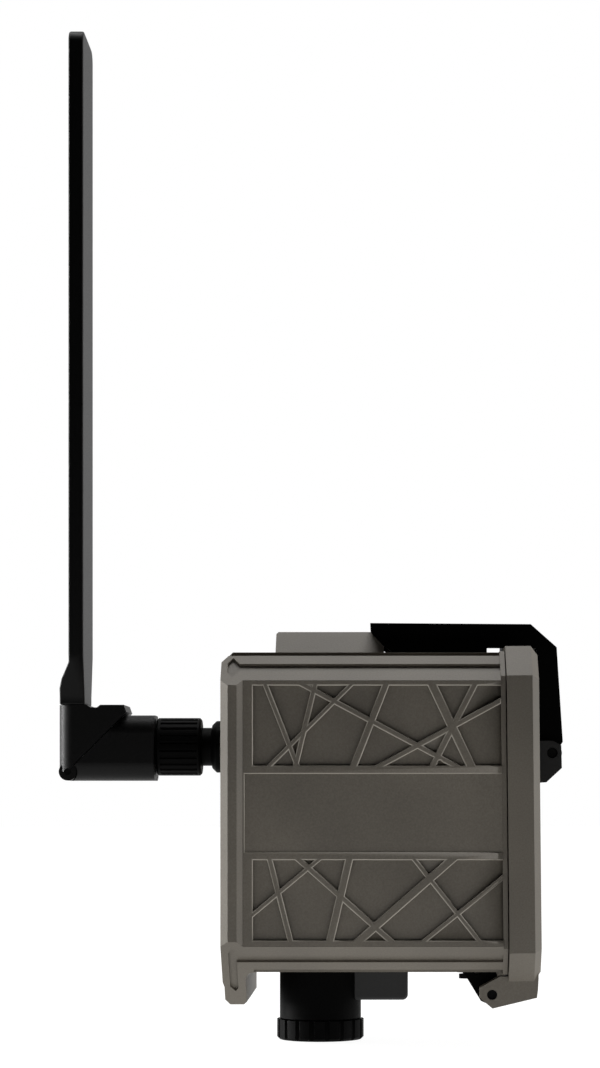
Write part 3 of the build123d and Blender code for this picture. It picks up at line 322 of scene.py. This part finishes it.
def smooth_plastic(name, dark, light, rough, ior, transmission=0.0):
    """Polished or lightly textured plastic, with a faint flow pattern from the gate."""
    material, tree, place = new_material(name)
    flow = add_node(tree, MAPPING, {"Vector": place, "Scale": (0.4, 1.0, 1.0)}).outputs["Vector"]
    waves = add_node(tree, NOISE, {"Vector": flow, "Scale": 1 / (5.0 * MM)}).outputs["Fac"]
    skin = add_node(tree, NOISE, {"Vector": place, "Scale": 1 / (0.5 * MM)}).outputs["Fac"]
    colour = add_node(tree, RAMP, {"Fac": waves}, [(0.3, dark), (0.7, light)])
    sheen = add_node(tree, RANGE, {"Value": waves, **NOISE_SPAN, "To Min": rough - 0.05, "To Max": rough + 0.07})
    relief = add_node(tree, BUMP, {"Height": skin, "Distance": 0.006 * MM, "Strength": 0.4})
    return close_material(material, {
        "Base Color": colour.outputs["Color"], "Roughness": sheen.outputs["Result"],
        "Normal": relief.outputs["Normal"], "IOR": ior, "Transmission Weight": transmission})


def lit_table(name):
    """Translucent acrylic table lit evenly from below: white by its own glow, with a faint tooth."""
    material, tree, place = new_material(name)
    tooth = add_node(tree, NOISE, {"Vector": place, "Scale": 1 / (1.2 * MM)}).outputs["Fac"]
    colour = add_node(tree, RAMP, {"Fac": tooth}, [(0.3, "#585857"), (0.7, "#5c5c5b")])
    relief = add_node(tree, BUMP, {"Height": tooth, "Distance": 0.01 * MM, "Strength": 0.2})
    return close_material(material, {
        "Base Color": colour.outputs["Color"], "Roughness": 0.9, "Normal": relief.outputs["Normal"],
        "Specular IOR Level": 0.1, "Emission Color": (1.0, 1.0, 1.0, 1.0), "Emission Strength": FLOOR_GLOW})


MATERIALS = {}


def finish_for(slot):
    """The material of one of the record's slots or of a finish within one, made once."""
    own = bpy.context.scene.link_box_colours
    shell = (own.shell_dark, own.shell_mid, own.shell_light, 0.42, 0.04, 0.6)
    makers = {
        "shell": lambda: eroded_abs("eroded_taupe_ABS", *shell),
        # The engraved shell carries a painted highlight on its rounded edges.
        "engraved_shell": lambda: eroded_abs("engraved_taupe_ABS", *shell, painted_highlight=own.shell_painted_highlight),
        "black_plastic": lambda: filled_nylon("black_filled_nylon", own.black_dark, own.black_light, 0.5, 0.03),
        "grey_nylon": lambda: filled_nylon("grey_filled_nylon", "#262626", "#2d2d2d", 0.5, 0.2),
        "grey_bracket": lambda: eroded_abs("eroded_charcoal_ABS", "#1a1a1a", "#1e1e1e", "#232323",
                                           0.4, 0.03, 0.6, 0.25),
        "inner_plastic": lambda: eroded_abs("eroded_grey_polypropylene", "#3a3b3c", "#404142", "#474849",
                                            0.5, 0.02, 0.55),
        "rubber": lambda: soft_rubber("black_silicone_rubber", "#141414", "#1e1e1e"),
        "steel": lambda: plated_metal("zinc_plated_steel", "#c4c4c2", "#a9a9a6", 0.28),
        # Dark steel, which on the pins is painted shade standing in for the shadowed pin holes.
        "black_steel": lambda: plated_metal("black_oxide_steel_with_painted_shade", "#1a1a1a", "#101010", 0.45),
        "brass": lambda: plated_metal("nickel_plated_brass", "#d8c18a", "#c2a566", 0.24),
        "circuit_board": lambda: solder_mask("solder_mask_on_glass_epoxy"),
        "components": lambda: smooth_plastic("epoxy_chip_compound", "#141415", "#1d1d1e", 0.45, 1.55),
        "shield": lambda: plated_metal("tinned_steel_can", "#d6d6d4", "#c2c2bf", 0.2, 0.4),
        "card": lambda: smooth_plastic("white_PVC_card", "#e2e1dc", "#eeede9", 0.38, 1.53),
        "lamp": lambda: smooth_plastic("green_polycarbonate_lens", "#2f9a4a", "#48b862", 0.16, 1.58, 0.4),
        "cell": lambda: shrunk_wrapper("shrunk_PVC_wrapper"),
        "lead": lambda: smooth_plastic("black_fluoropolymer_jacket", "#0c0c0d", "#151516", 0.35, 1.38),
        "aerial": lambda: eroded_abs("eroded_black_elastomer", own.aerial_dark, own.aerial_mid,
                                     own.aerial_light, 0.4, 0.03, 0.48, 0.14),
        "floor": lambda: lit_table("lit_acrylic_table"),
    }
    if slot not in MATERIALS:
        MATERIALS[slot] = makers[slot]()
    return MATERIALS[slot]


# ---- meshes ------------------------------------------------------------------------------------
def place_piece(name, bm, body, slot, finish=None, replaced=()):
    """Turns a finished bmesh into a piece that rides on its body."""
    mesh = bpy.data.meshes.new(name)
    bm.to_mesh(mesh)
    bm.free()
    mesh.shade_smooth()
    mesh.set_sharp_from_angle(angle=radians(35))
    mesh.materials.append(finish_for(finish or slot))
    piece = bpy.data.objects.new(name, mesh)
    bpy.context.scene.collection.objects.link(piece)
    flats = piece.modifiers.new("Flat faces stay flat", "WEIGHTED_NORMAL")
    flats.keep_sharp = True
    flats.weight = 80
    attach(piece, body)
    if replaced:
        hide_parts(*replaced)
    return piece


def copied_mesh(node):
    """A copy of a CAD node's mesh, merged and with its flat faces joined up."""
    bm = bmesh.new()
    bm.from_mesh(frame["nodes"][node].data)
    bmesh.ops.remove_doubles(bm, verts=bm.verts, dist=0.002 * MM)
    bmesh.ops.dissolve_degenerate(bm, edges=bm.edges, dist=0.002 * MM)
    bmesh.ops.dissolve_limit(bm, angle_limit=radians(0.8), verts=bm.verts, edges=bm.edges)
    return bm


def corners(bm, angle):
    """The edges where two faces turn by more than the angle, in degrees."""
    return [e for e in bm.edges if len(e.link_faces) == 2 and e.calc_face_angle(0.0) > radians(angle)]


def round_edges(bm, edges, radius, segments=2, clamp=True):
    """Rounds edges with a bevel."""
    bmesh.ops.bevel(bm, geom=edges, offset=radius, offset_type="OFFSET", segments=segments, profile=0.5,
                    affect="EDGES", clamp_overlap=clamp, material=-1)


def rounded_copy(node, radius, segments=2, finish=None):
    """A copy of a CAD node with its sharp edges rounded, as the mould leaves them."""
    bm = copied_mesh(node)
    round_edges(bm, corners(bm, 24), radius, segments)
    return place_piece("rounded_" + node, bm, BODY_OF[node], SLOT_OF[node], finish, (node,))


def engraved_edges(bm, face_y, left, right, bands):
    """The edges of an engraving in the front face, between two sides and within bands of height."""
    found = []
    for edge in corners(bm, 60):
        middle = (edge.verts[0].co + edge.verts[1].co) / 2
        on_face = all(abs(v.co.y - face_y) < 0.01 * MM for v in edge.verts)
        if on_face and left < middle.x < right and any(low < middle.z < high for low, high in bands):
            found.append(edge)
    return found


def lattice_panel(rib_round, band_round):
    """The front panel, with the upper edges of its ribs and of its plain band rounded by the engraving."""
    bm = copied_mesh("front_panel")
    low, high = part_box("front_panel")
    left, right = low.x + PANEL_MARGIN, high.x - PANEL_MARGIN
    round_edges(bm, engraved_edges(bm, low.y, low.x - PANEL_MARGIN, right, LATTICE_BANDS), rib_round, 3, clamp=False)
    round_edges(bm, engraved_edges(bm, low.y, left, right, PLAIN_BAND), band_round, 2, clamp=False)
    return place_piece("lattice_panel", bm, "housing", "shell", "engraved_shell", ("front_panel",))


# ---- operators ---------------------------------------------------------------------------------
class LINKBOX_OT_housing(bpy.types.Operator):
    """Round and finish the housing's moulded shells"""
    bl_idname = "linkbox.housing"
    bl_label = "Housing shells"

    def execute(self, context):
        sizes = context.scene.link_box_sizes
        lattice_panel(sizes.rib_round, sizes.band_round)
        for node in ("front_cover", "housing_shell", "rear_cover", "latch_keeper"):
            rounded_copy(node, sizes.shell_round)
        rounded_copy("strap_bridge", sizes.black_round)
        return {"FINISHED"}


class LINKBOX_OT_door(bpy.types.Operator):
    """Round and finish the battery door and its hinge"""
    bl_idname = "linkbox.door"
    bl_label = "Battery door"

    def execute(self, context):
        sizes = context.scene.link_box_sizes
        rounded_copy("door_cover", sizes.shell_round)
        for node in ("hinge_knuckle", "door_liner"):
            rounded_copy(node, sizes.black_round)
        return {"FINISHED"}


class LINKBOX_OT_latch(bpy.types.Operator):
    """Round and finish the latch lever and its bracket"""
    bl_idname = "linkbox.latch"
    bl_label = "Latch"

    def execute(self, context):
        for node in ("latch_lever", "latch_bracket"):
            rounded_copy(node, context.scene.link_box_sizes.black_round)
        return {"FINISHED"}


class LINKBOX_OT_aerial(bpy.types.Operator):
    """Round and finish the folding aerial"""
    bl_idname = "linkbox.aerial"
    bl_label = "Aerial"

    def execute(self, context):
        sizes = context.scene.link_box_sizes
        for node in ("antenna_blade", "antenna_knuckle", "antenna_sleeve"):
            rounded_copy(node, sizes.aerial_round, 3, "aerial")
        rounded_copy("antenna_nut", sizes.nut_round)
        rounded_copy("antenna_jack", sizes.small_round, finish="black_plastic")
        return {"FINISHED"}


class LINKBOX_OT_ports(bpy.types.Operator):
    """Round and finish the cable port and the power socket"""
    bl_idname = "linkbox.ports"
    bl_label = "Ports"

    def execute(self, context):
        sizes = context.scene.link_box_sizes
        rounded_copy("port_spout", sizes.black_round)
        rounded_copy("port_cap", sizes.cap_round)
        rounded_copy("power_housing", sizes.black_round, finish="grey_nylon")
        rounded_copy("power_plug", sizes.small_round)
        return {"FINISHED"}


class LINKBOX_OT_inside(bpy.types.Operator):
    """Give every other piece the finish of its slot"""
    bl_idname = "linkbox.inside"
    bl_label = "Inner parts and fixings"

    def execute(self, context):
        for node, item in frame["nodes"].items():
            if item.hide_render:
                continue
            item.data.materials.clear()
            # The dark fixings get black-oxide steel, which on the pins is painted shade.
            item.data.materials.append(finish_for("black_steel" if node in DARK_FINISH_AND_PAINTED_SHADE_FIXINGS else SLOT_OF[node]))
        return {"FINISHED"}


class LINKBOX_OT_stage(bpy.types.Operator):
    """Set the floor, the soft light and the camera"""
    bl_idname = "linkbox.stage"
    bl_label = "Stage"

    def execute(self, context):
        scene = context.scene
        self.add_floor(scene)
        self.set_world(scene)
        self.add_lights(scene)
        self.add_camera(scene)
        scene.view_settings.view_transform = "Standard"
        return {"FINISHED"}

    def add_floor(self, scene):
        """A plain pale table that starts a little in front of the box and runs far behind it."""
        bm = bmesh.new()
        bmesh.ops.create_grid(bm, x_segments=8, y_segments=8, size=FLOOR_SIZE)
        bmesh.ops.translate(bm, vec=(0, FLOOR_MIDDLE_Y, CAD_BOX[0].z - FLOOR_DROP), verts=bm.verts)
        mesh = bpy.data.meshes.new("studio_floor")
        bm.to_mesh(mesh)
        bm.free()
        mesh.materials.append(finish_for("floor"))
        floor = bpy.data.objects.new("studio_floor", mesh)
        scene.collection.objects.link(floor)

    def set_world(self, scene):
        """An even white room that is dim on the side that the box faces."""
        world = bpy.data.worlds.new("white_room")
        scene.world = world
        world.use_nodes = True
        tree = world.node_tree
        tree.nodes.clear()
        direction = add_node(tree, "ShaderNodeTexCoord").outputs["Generated"]
        ahead = add_node(tree, "ShaderNodeSeparateXYZ", {"Vector": direction}).outputs["Y"]
        level = add_node(tree, RANGE, {"Value": ahead, **ROOM_LEVELS},
                         interpolation_type="SMOOTHSTEP").outputs["Result"]
        room = add_node(tree, "ShaderNodeBackground", {"Color": (1, 1, 1, 1), "Strength": level})
        plain = add_node(tree, "ShaderNodeBackground", {
            "Color": (*scene.link_box_colours.background, 1), "Strength": 1.0})
        seen = add_node(tree, "ShaderNodeLightPath").outputs["Is Camera Ray"]
        both = add_node(tree, "ShaderNodeMixShader", {0: seen, 1: room.outputs[0], 2: plain.outputs[0]})
        add_node(tree, "ShaderNodeOutputWorld", {"Surface": both.outputs[0]})

    def add_lights(self, scene):
        """Two tall soft boxes at the sides and a wide one overhead."""
        for name, place, size, power in SOFT_BOXES:
            light = bpy.data.lights.new(name, "AREA")
            light.shape = "RECTANGLE"
            light.size, light.size_y = size
            light.energy = power
            lamp = bpy.data.objects.new(name, light)
            lamp.location = place
            lamp.rotation_euler = (Vector(AIM) - Vector(place)).to_track_quat("-Z", "Y").to_euler()
            scene.collection.objects.link(lamp)

    def add_camera(self, scene):
        """A level camera square to the front, shifted to frame the aerial."""
        camera = bpy.data.cameras.new("front_camera")
        camera.sensor_width = 36.0
        camera.lens = CAMERA_LENS
        camera.shift_x, camera.shift_y = CAMERA_SHIFT
        camera.clip_start = 0.01
        view = bpy.data.objects.new("front_camera", camera)
        view.location = CAMERA_PLACE
        view.rotation_euler = (radians(90), 0, 0)
        scene.collection.objects.link(view)
        scene.camera = view


OPERATORS = (LINKBOX_OT_housing, LINKBOX_OT_door, LINKBOX_OT_latch, LINKBOX_OT_aerial, LINKBOX_OT_ports,
             LINKBOX_OT_inside, LINKBOX_OT_stage)


class LINKBOX_PT_panel(bpy.types.Panel):
    """Lists the sizes, colours and pieces of the link box"""
    bl_idname = "LINKBOX_PT_panel"
    bl_label = "Link Box"
    bl_space_type = "VIEW_3D"
    bl_region_type = "UI"
    bl_category = "Link Box"

    def draw(self, context):
        for group in (context.scene.link_box_sizes, context.scene.link_box_colours):
            for name in group.bl_rna.properties.keys():
                if name not in ("rna_type", "name"):
                    self.layout.prop(group, name)
        for operator in OPERATORS:
            self.layout.operator(operator.bl_idname)


CLASSES = (LinkBoxSizes, LinkBoxColours, *OPERATORS, LINKBOX_PT_panel)


def register():
    for item in CLASSES:
        bpy.utils.register_class(item)
    bpy.types.Scene.link_box_sizes = PointerProperty(type=LinkBoxSizes)
    bpy.types.Scene.link_box_colours = PointerProperty(type=LinkBoxColours)


def unregister():
    del bpy.types.Scene.link_box_colours
    del bpy.types.Scene.link_box_sizes
    for item in reversed(CLASSES):
        bpy.utils.unregister_class(item)


def main():
    register()
    for step in ("housing", "door", "latch", "aerial", "ports", "inside", "stage"):
        getattr(bpy.ops.linkbox, step)()


if __name__ == "__main__":
    main()
